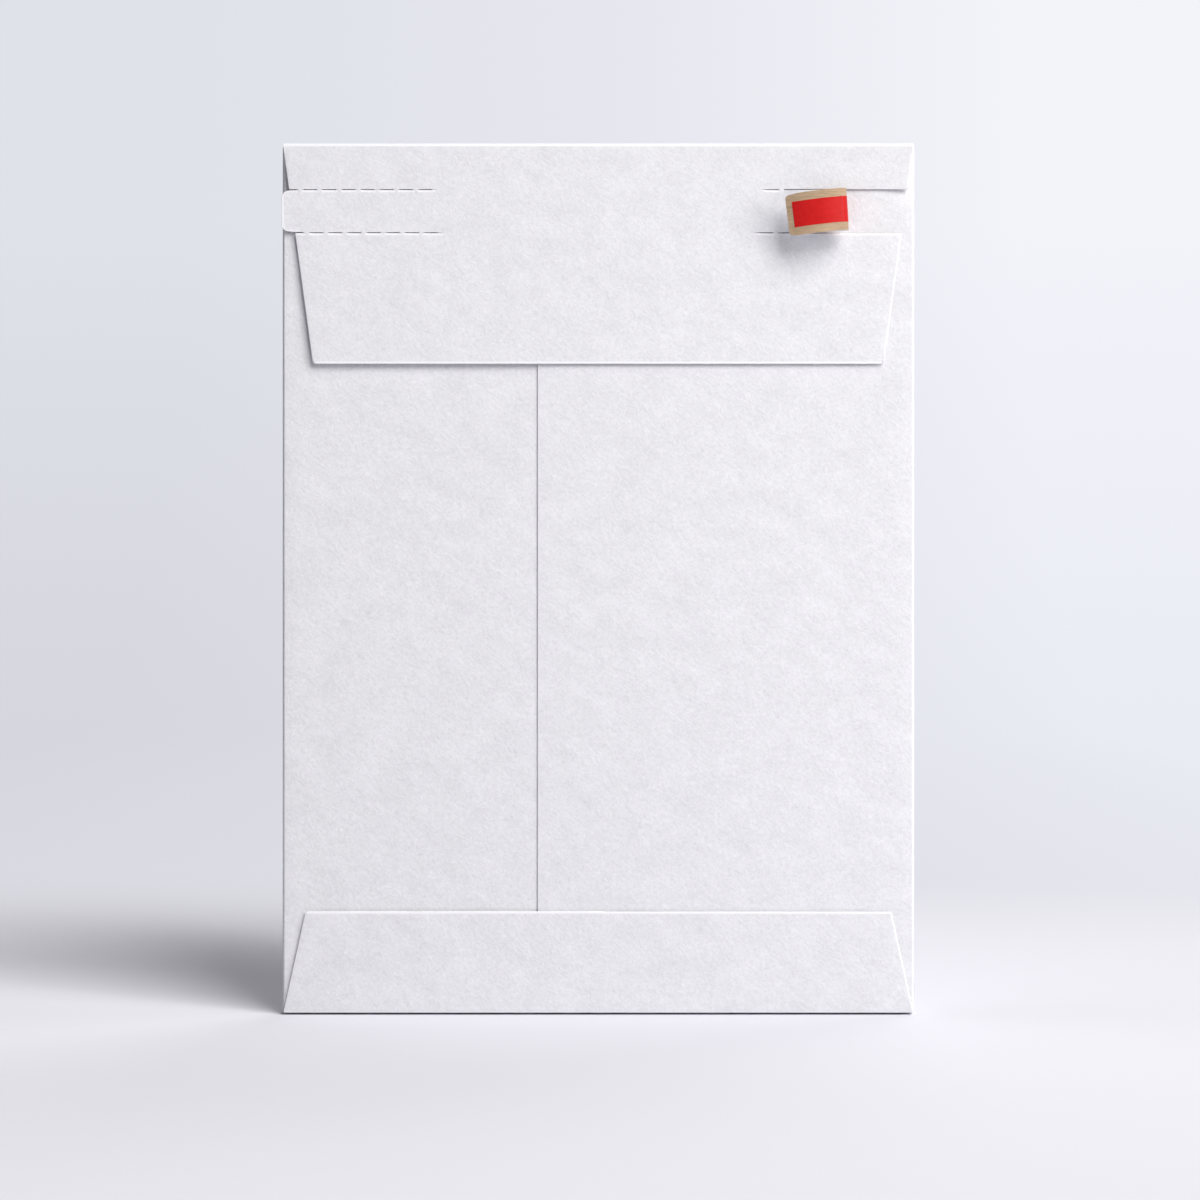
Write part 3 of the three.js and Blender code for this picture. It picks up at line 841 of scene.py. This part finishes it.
def closing_flap():
    """A flat sheet on a grid with columns at the slits' ends and rows at the tear lines."""
    columns = flap_columns()
    rows = subdivided(
        [JOIN_LEVEL, STRIP_TOP, *corner_stops(UPPER_LIP, -1, PRESSED_WIDTH), LOWER_LIP,
         *corner_stops(STRIP_BOTTOM, -1, PRESSED_WIDTH),
         *corner_stops(FLAP_BOTTOM, 1, FLAP_CORNER)[::-1]],
        FLAP_STEP,
    )
    c = ((columns[1:] + columns[:-1]) / 2)[:, None]
    z = ((rows[1:] + rows[:-1]) / 2)[None]
    keep = (z > STRIP_TOP) | (z < STRIP_BOTTOM) | ((c < TEAR_COLUMN) & (c > TAB_COLUMN))
    for line, inner in TEAR_LINES:
        on_line = (z - line) * (z - inner) < 0
        keep &= ~(on_line & in_slits(flap_x(c, line), line))

    def from_edges(a, b):
        """Distances of a grid point from the side edge and from the lower edge."""
        return round_off(flap_edge(b) - np.abs(flap_x(a, b)), b - FLAP_BOTTOM, FLAP_CORNER)

    def under_cut(a, b):
        """Distance down from the slit or tear line right above, or the pressed width if none."""
        nearest = np.full(a.shape, PRESSED_WIDTH)
        for lip, line in ((UPPER_LIP, STRIP_TOP), (STRIP_BOTTOM, STRIP_BOTTOM)):
            torn = (a > TEAR_COLUMN - NEAR) & (line == STRIP_BOTTOM)
            cut = torn | in_slits(flap_x(a, line), line, NEAR)
            below = cut & (b < lip + NEAR)
            nearest = np.where(below, np.minimum(nearest, lip - b), nearest)
        return nearest

    def place(a, b, w):
        inset, rise = from_edges(a, b)
        x, z = np.sign(a) * (flap_edge(b) - inset), FLAP_BOTTOM + rise
        recess = pressed(np.minimum(inset, under_cut(a, b)))
        return x, FLAP_OUTER + w + recess * (1 - w / BOARD) - flap_lift(x, z), z

    # Lighter along the cut edges and the lips under the slits: partly scuffed fibre, partly
    # painted highlight.
    def worn_and_highlit(a, b):
        inset, rise = from_edges(a, b)
        return lip_wear_and_highlight(np.minimum(np.minimum(2 * inset, rise), under_cut(a, b)))

    def joined(a, b):
        inside = (b < STRIP_TOP - SLIT_WIDTH / 2) & (b > STRIP_BOTTOM + SLIT_WIDTH / 2)
        at_end = (np.abs(a - TEAR_COLUMN) < NEAR) | (np.abs(a - TAB_COLUMN) < NEAR)
        return (b > JOIN_LEVEL - NEAR) | (at_end & inside)

    def softness(a, b):
        slit_ends = [np.abs(b - sum(pair) / 2) < NEAR for pair in TEAR_LINES]
        faces_down = (np.abs(b - STRIP_TOP) < NEAR) | (np.abs(b - LOWER_LIP) < NEAR)
        faces_down |= b < FLAP_BOTTOM + NEAR
        outline = np.where(faces_down, CRISP_SHARE, np.where(a < -STEADY, FLAP_LEFT_SHARE, 1.0))
        return np.where(np.any(slit_ends, axis=0), 0.0, outline)

    piece = sheet(
        "closing_flap_sheet", columns, rows, place, keep=keep, joined=joined, softness=softness,
        worn_and_highlit=worn_and_highlit, blank=lambda a, b: (flap_x(a, b), b),
    )
    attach(piece, "closing_flap")
    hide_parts("flap_upper_band", "flap_lower_panel", "tear_strip_held")


# Tear strip: three layers, which curl off the flap at the right and end in a tab at the left

Layer = namedtuple("Layer", "name depth thickness slot materials half end")
LAYERS = (
    Layer("tear_strip", 0.0, BOARD, "white_board", None, STRIP_HALF, TAB_END),
    Layer("kraft_lining", BOARD, LINING, "kraft_lining", [kraft_material], STRIP_HALF, TAB_END),
    Layer(
        "tear_tape", BOARD + LINING, TAPE, "red_tear_tape", [tape_material], TAPE_HALF, TAPE_END
    ),
)

# Hinges of the curl, as points along the flap and off it, and their links

LAST_LINK = 20 * MM
FIRST_TANGENT = 0.5 * MM
TANGENT_SHARE = 0.47  # of the shorter link, so that two arcs never meet
CURL_LEAD = 1 * MM

curl_joints = sorted(
    (joint for joint in frame["joints"] if joint["name"].startswith("curl_")),
    key=lambda joint: joint["name"],
)
hinge_axis = np.array(curl_joints[0]["axis"])
curl_origin = np.array(curl_joints[0]["pos_m"])
LEAN = math.atan2(-hinge_axis[0], hinge_axis[2])
CURL_OUT = np.array([0.0, -1.0, 0.0])
CURL_ALONG = np.array([math.cos(LEAN), 0.0, math.sin(LEAN)])
BENDS = np.radians([joint["range_deg"][1] for joint in curl_joints])
curl_points = np.array([joint["pos_m"] for joint in curl_joints]) - curl_origin
HINGES = np.stack([curl_points @ CURL_ALONG, curl_points @ CURL_OUT], -1)
LINKS = np.concatenate([np.linalg.norm(np.diff(HINGES, axis=0), axis=1), [LAST_LINK]])
STATIONS = np.concatenate([[0.0], np.cumsum(LINKS[:-1])])
ARC_TANGENTS = np.append(FIRST_TANGENT, TANGENT_SHARE * np.minimum(LINKS[1:], LINKS[:-1]))


def curl_section(e, w):
    """Where the strip lies after a length e past the tear, seen along the hinge lines.

    Each hinge is drawn as an arc that touches the links to both sides of it. w is the depth below
    the white face. Gives the way along the flap and the height off it.
    """
    along, out, heading = np.zeros_like(e), np.zeros_like(e), np.zeros_like(e)
    angle, arc_end = 0.0, -math.inf
    for hinge, bend, tangent, station in zip(HINGES, BENDS, ARC_TANGENTS, STATIONS):
        direction = np.array([math.cos(angle), math.sin(angle)])
        offset = e - (station - tangent)
        arc_start = hinge - direction * tangent
        on_straight = (e >= arc_end) & (offset < 0)
        along = np.where(on_straight, arc_start[0] + offset * direction[0], along)
        out = np.where(on_straight, arc_start[1] + offset * direction[1], out)
        heading = np.where(on_straight, angle, heading)
        arc_end = station + tangent
        on_arc = (offset >= 0) & (e <= arc_end)
        turned = angle + np.clip(offset / (2 * tangent), 0, 1) * bend
        radius = tangent / math.tan(bend / 2)
        centre = arc_start + radius * np.array([-direction[1], direction[0]])
        along = np.where(on_arc, centre[0] + radius * np.sin(turned), along)
        out = np.where(on_arc, centre[1] - radius * np.cos(turned), out)
        heading = np.where(on_arc, turned, heading)
        angle += bend
    past = e > arc_end
    offset = e - STATIONS[-1]
    along = np.where(past, HINGES[-1][0] + offset * math.cos(angle), along)
    out = np.where(past, HINGES[-1][1] + offset * math.sin(angle), out)
    heading = np.where(past, angle, heading)
    return along + w * np.sin(heading), out - w * np.cos(heading)


def curl_length(x, z):
    """The length past the tear of a point of the flat strip, square to the hinge lines."""
    return (x - curl_origin[0]) * math.cos(LEAN) + (z - STRIP_MIDDLE) * math.sin(LEAN)


def flat_x(e, z):
    """The inverse of curl_length at a height z."""
    return curl_origin[0] + (e - (z - STRIP_MIDDLE) * math.sin(LEAN)) / math.cos(LEAN)


def strip_end(before_end, share, half, radius):
    """Distance before the end and height off the middle of a point of the strip's tapered end.

    before_end and share are the point's even grid place: a distance, and -1 to 1 across. The tape
    is narrower than the strip, and its end is cut square.
    """
    if half < STRIP_HALF:
        return before_end, share * half
    here = half - END_NARROWING * np.clip(1 - before_end / NARROWING_LENGTH, 0, 1)
    inset, before = round_off(here * (1 - np.abs(share)), before_end, radius)
    return before, np.sign(share) * (here - inset)


def curl_piece(index, layer):
    """One layer of the curl from the middle of one link to the middle of the next."""
    first, last = index == 0, index == len(BENDS) - 1
    station = STATIONS[index]
    arc = station + ARC_TANGENTS[index] * np.linspace(-1, 1, BEND_STATIONS)
    start = -CURL_LEAD if first else station - LINKS[index - 1] / 2
    stop = (layer.end - curl_origin[0]) * math.cos(LEAN)
    if last:
        corner = corner_stops(stop, -1, TORN_CORNER)[::-1]
        rest = [*subdivided([arc[-1], corner[0]], STRIP_STEP)[1:], *corner[1:]]
    else:
        rest = [station + LINKS[index] / 2]
    lengths = np.unique(np.concatenate([[start], arc, rest]))

    def to_flat(a, b):
        """a is the length at the strip's middle, b goes from -1 to 1 across it."""
        z = STRIP_MIDDLE + b * layer.half
        x = flat_x(a, z)
        if last:
            before, rise = strip_end(stop - a, b, layer.half, TORN_CORNER)
            z = STRIP_MIDDLE + rise
            tail = np.clip((a - arc[-1]) / (lengths[-1] - arc[-1]), 0, 1)
            x = flat_x(stop - before, z) + tail * rise * math.tan(LEAN)
        if first:
            head = np.clip((arc[0] - a) / (arc[0] - start), 0, 1)
            x = x + head * (flap_x(TEAR_COLUMN, z) - x)
        return x, z

    def place(a, b, w):
        x, z = to_flat(a, b)
        along, out = curl_section(curl_length(x, z), w + layer.depth)
        up = -(x - curl_origin[0]) * math.sin(LEAN) + (z - STRIP_MIDDLE) * math.cos(LEAN)
        return tuple(
            curl_origin[i] + along * CURL_ALONG[i] + out * CURL_OUT[i] + up * hinge_axis[i]
            for i in range(3)
        )

    def joined(a, b):
        return (a < start + NEAR) | ((a > lengths[-1] - NEAR) & (not last))

    piece = sheet(
        f"{layer.name}_curl_{index + 1}", lengths,
        stops_across(TORN_CORNER / layer.half, STRIP_ACROSS_STEP), place, joined=joined,
        materials=layer.materials, blank=to_flat, depth=layer.thickness,
        rounding=min(EDGE_ROUNDING, layer.thickness * THIN_LAYER_SHARE),
    )
    along, out = curl_section(arc[[0, -1]], BOARD / 2)
    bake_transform(piece)
    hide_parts(f"{layer.name}_link_{index + 1}")


def tab_piece(layer):
    """One layer of the finger tab at the left end, flat at the flap's face."""
    length = layer.end - TAB_JOIN
    stations = subdivided([*corner_stops(0, 1, TAB_CORNER), length], TAB_STEP)

    def to_flat(a, b):
        """a is the distance from the tab's end, b goes from -1 to 1 across it."""
        before, rise = strip_end(a, b, layer.half, TAB_CORNER)
        z = STRIP_MIDDLE + rise
        slant = flap_x(TAB_COLUMN, z) - flap_x(TAB_COLUMN, STRIP_MIDDLE)
        return before - layer.end + np.clip(a / length, 0, 1) * slant, z

    def place(a, b, w):
        x, z = to_flat(a, b)
        return x, np.full(x.shape, FLAP_OUTER + layer.depth + w), z

    # The tab's edges are painted lighter, partly scuffed fibre and partly painted highlight.
    piece = sheet(
        f"{layer.name}_finger_tab", stations,
        stops_across(TAB_CORNER / layer.half, STRIP_ACROSS_STEP), place,
        joined=lambda a, b: a > length - NEAR, materials=layer.materials, blank=to_flat,
        worn_and_highlit=lambda a, b: lip_wear_and_highlight(np.minimum(a, layer.half * (1 - np.abs(b)))),
        depth=layer.thickness, rounding=min(EDGE_ROUNDING, layer.thickness * THIN_LAYER_SHARE),
    )
    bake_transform(piece)
    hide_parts(f"{layer.name}_tab")


def held_lining(layer):
    """The lining or the tape behind the part of the strip that is still in the flap."""

    def to_flat(a, b):
        z = STRIP_MIDDLE + b * layer.half
        return flap_x(a, z), z

    def place(a, b, w):
        x, z = to_flat(a, b)
        return x, FLAP_OUTER + layer.depth + w - flap_lift(x, z), z

    piece = sheet(
        f"{layer.name}_in_flap", subdivided([TAB_COLUMN, TEAR_COLUMN], HELD_STEP),
        subdivided([-1.0, 1.0], HELD_ACROSS_STEP), place,
        joined=lambda a, b: np.abs(np.abs(b) - 1) > NEAR, materials=layer.materials,
        blank=to_flat, depth=layer.thickness, rounding=layer.thickness * HELD_LAYER_SHARE,
    )
    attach(piece, "closing_flap")
    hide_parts(f"{layer.name}_held")


folded_sleeve()
bottom_fold()
top_creases()
closing_flap()
for strip_layer in LAYERS:
    tab_piece(strip_layer)
    for hinge_index in range(len(BENDS)):
        curl_piece(hinge_index, strip_layer)
for strip_layer in LAYERS[1:]:
    held_lining(strip_layer)

# Glue: the CAD's own solids, as dried dispersion glue and tacky hot melt

glue_material = dried_glue("dried_dispersion_glue", ("#ded8c2", "#ece7d6"), 0.5)
seal_material = dried_glue("tacky_hot_melt", ("#e0d6b4", "#efe7cd"), 0.3)
for glued, material in (
    ("seam_glue", glue_material),
    ("bottom_flap_glue", glue_material),
    ("seal_adhesive", seal_material),
):
    for material_slot in frame["nodes"][glued].material_slots:
        material_slot.material = material


# Stage, light and camera, in metres and watts

PICTURE = 1200
METRES_PER_PIXEL = 0.37825 * MM
SENSOR_WIDTH = 36.0
NEAREST_SEEN = 0.01
CAMERA_DISTANCE = 1.1
CAMERA_HEIGHT = 157.1 * MM
CAMERA_ASIDE = 0.57 * MM

SOFTBOXES = (  # name, place, size, spread and power
    ("key_softbox", (1.53, -2.3, 2.45), 2.1, math.pi, 117.0),
    ("side_softbox", (1.15, -0.7, 0.5), 0.5, math.radians(95), 1.9),
    ("rear_softbox", (0.62, 1.2, 1.6), 1.1, math.pi, 16.0),
)
LIGHT_AIM = Vector((0.0, 0.0, 0.14))
LIGHT_COLOUR = (1.0, 0.985, 0.965)
FILL_COLOUR = (0.94, 0.96, 1.0, 1.0)
FILL_LEVEL = 0.05
ROOM_COLOUR = "#dfe1e9"

SWEEP_NEAR = -2.4
SWEEP_FAR = 2.2
SWEEP_RADIUS = 0.9
SWEEP_TOP = 3.2
SWEEP_HALF = 3.5
SWEEP_ARC_POINTS = 25
FLOOR_COLOUR = "#e4e4ec"
FLOOR_ROUGHNESS = 0.5
# Backdrop colours as painted light: darker at the left and lower down, lighter at the right and
# higher up.
LOW_BACKDROP_PAINTED_LIGHT = ("#d6d6de", "#dedee6", "#eaecf4")
HIGH_BACKDROP_PAINTED_LIGHT = ("#dfe2e9", "#e6e6ee", "#f3f3fa")
BACKDROP_HALF = 0.6
BACKDROP_HEIGHT = 0.7
FADE_BEHIND = (0.24, 0.6)
FADE_AROUND = (0.7, 1.5)


def seen_directly(tree):
    """1 for rays that show a surface to the eye or in gloss or glass, 0 for those that light."""
    rays = node(tree, "ShaderNodeLightPath").outputs
    seen = rays["Is Camera Ray"]
    for kind in ("Is Glossy Ray", "Is Transmission Ray"):
        seen = node(
            tree, "ShaderNodeMath", {0: seen, 1: rays[kind]}, operation="MAXIMUM"
        ).outputs["Value"]
    return seen


def stage_material():
    """Seamless paper sweep, matt. It takes shadows near the object, and a smooth step over the
    distance fades it into a colour for the eye, so that no edge of it shows; that colour is
    painted light, darker at the left and lower down, lighter at the right and higher up."""
    material, tree, output = new_material("pale_paper_sweep")
    place = node(tree, "ShaderNodeTexCoord").outputs["Object"]
    split = node(tree, "ShaderNodeSeparateXYZ", {"Vector": place}).outputs
    sideways, upwards = (
        node(tree, "ShaderNodeMapRange", {"Value": split[axis], "From Min": low, "From Max": high})
        for axis, low, high in (("X", -BACKDROP_HALF, BACKDROP_HALF), ("Z", 0.0, BACKDROP_HEIGHT))
    )
    # Painted light: the backdrop's colour grows lighter to the right and upwards.
    levels = []
    for left, middle, right in (LOW_BACKDROP_PAINTED_LIGHT, HIGH_BACKDROP_PAINTED_LIGHT):
        ramp = node(tree, "ShaderNodeValToRGB", {"Fac": sideways.outputs["Result"]})
        ramp.color_ramp.elements[0].color = curve_colour(left)
        ramp.color_ramp.elements[1].color = curve_colour(right)
        ramp.color_ramp.elements.new(0.5).color = curve_colour(middle)
        levels.append(ramp.outputs["Color"])
    painted_light_tint = node(
        tree, "ShaderNodeMix",
        {"Factor": upwards.outputs["Result"], MIX_A: levels[0], MIX_B: levels[1]},
        data_type="RGBA",
    ).outputs[MIX_RESULT]
    distance = node(tree, "ShaderNodeVectorMath", {0: place}, operation="LENGTH").outputs["Value"]
    behind, around = (
        node(
            tree, "ShaderNodeMapRange", {"Value": value, "From Min": begin, "From Max": end},
            interpolation_type="SMOOTHSTEP",
        ).outputs["Result"]
        for value, (begin, end) in ((split["Y"], FADE_BEHIND), (distance, FADE_AROUND))
    )
    far = node(tree, "ShaderNodeMath", {0: behind, 1: around}, operation="MAXIMUM")
    share = node(
        tree, "ShaderNodeMath", {0: seen_directly(tree), 1: far.outputs["Value"]},
        operation="MULTIPLY",
    )
    matt = node(
        tree, "ShaderNodeBsdfDiffuse",
        {"Color": curve_colour(FLOOR_COLOUR), "Roughness": FLOOR_ROUGHNESS},
    )
    plain = node(tree, "ShaderNodeEmission", {"Color": painted_light_tint, "Strength": 1.0})
    mixed = node(
        tree, "ShaderNodeMixShader",
        {0: share.outputs["Value"], 1: matt.outputs["BSDF"], 2: plain.outputs["Emission"]},
    )
    tree.links.new(mixed.outputs["Shader"], output.inputs["Surface"])
    return material


def studio_sweep():
    """A floor that turns up into a wall through a quarter circle, as a profile drawn sideways."""
    angles = np.linspace(0, math.pi / 2, SWEEP_ARC_POINTS)
    arc = np.column_stack([SWEEP_FAR + SWEEP_RADIUS * np.sin(angles),
                           SWEEP_RADIUS - SWEEP_RADIUS * np.cos(angles)])
    profile = np.concatenate([[(SWEEP_NEAR, 0.0)], arc, [(SWEEP_FAR + SWEEP_RADIUS, SWEEP_TOP)]])
    count = len(profile)
    points = np.concatenate(
        [np.column_stack([np.full(count, x), profile]) for x in (-SWEEP_HALF, SWEEP_HALF)]
    )
    first = np.arange(count - 1)
    faces = np.stack([first, first + count, first + count + 1, first + 1], -1)
    mesh = bpy.data.meshes.new("studio_sweep")
    mesh.from_pydata(points.tolist(), [], faces.tolist())
    mesh.shade_smooth()
    mesh.materials.append(stage_material())
    new_object("studio_sweep", mesh)


def lights():
    """A large key from the upper right in front, and weaker boxes at the right and behind."""
    for name, place, size, spread, power in SOFTBOXES:
        lamp = bpy.data.lights.new(name, "AREA")
        lamp.shape = "SQUARE"
        lamp.size = size
        lamp.spread = spread
        lamp.energy = power
        lamp.color = LIGHT_COLOUR
        box = new_object(name, lamp)
        box.location = place
        box.rotation_euler = (LIGHT_AIM - Vector(place)).to_track_quat("-Z", "Y").to_euler()


def studio_room():
    """The world: even weak fill as light, and a plain pale room where the eye sees it."""
    world = bpy.data.worlds.new("studio_room")
    world.use_nodes = True
    tree = world.node_tree
    tree.nodes.clear()
    fill, room = (
        node(tree, "ShaderNodeBackground", {"Color": colour, "Strength": level})
        for colour, level in ((FILL_COLOUR, FILL_LEVEL), (curve_colour(ROOM_COLOUR), 1.0))
    )
    mixed = node(
        tree, "ShaderNodeMixShader",
        {0: seen_directly(tree), 1: fill.outputs["Background"], 2: room.outputs["Background"]},
    )
    node(tree, "ShaderNodeOutputWorld", {"Surface": mixed.outputs["Shader"]})
    bpy.context.scene.world = world


def camera():
    """A level camera straight in front of the flap side."""
    lens = bpy.data.cameras.new("camera")
    lens.sensor_width = SENSOR_WIDTH
    lens.lens = CAMERA_DISTANCE / METRES_PER_PIXEL / PICTURE * SENSOR_WIDTH
    lens.clip_start = NEAREST_SEEN
    eye = new_object("camera", lens)
    eye.location = (CAMERA_ASIDE, FLAP_OUTER - CAMERA_DISTANCE, CAMERA_HEIGHT)
    eye.rotation_euler = (math.pi / 2, 0, 0)
    bpy.context.scene.camera = eye


studio_sweep()
lights()
studio_room()
camera()
bpy.context.scene.view_settings.view_transform = "Standard"
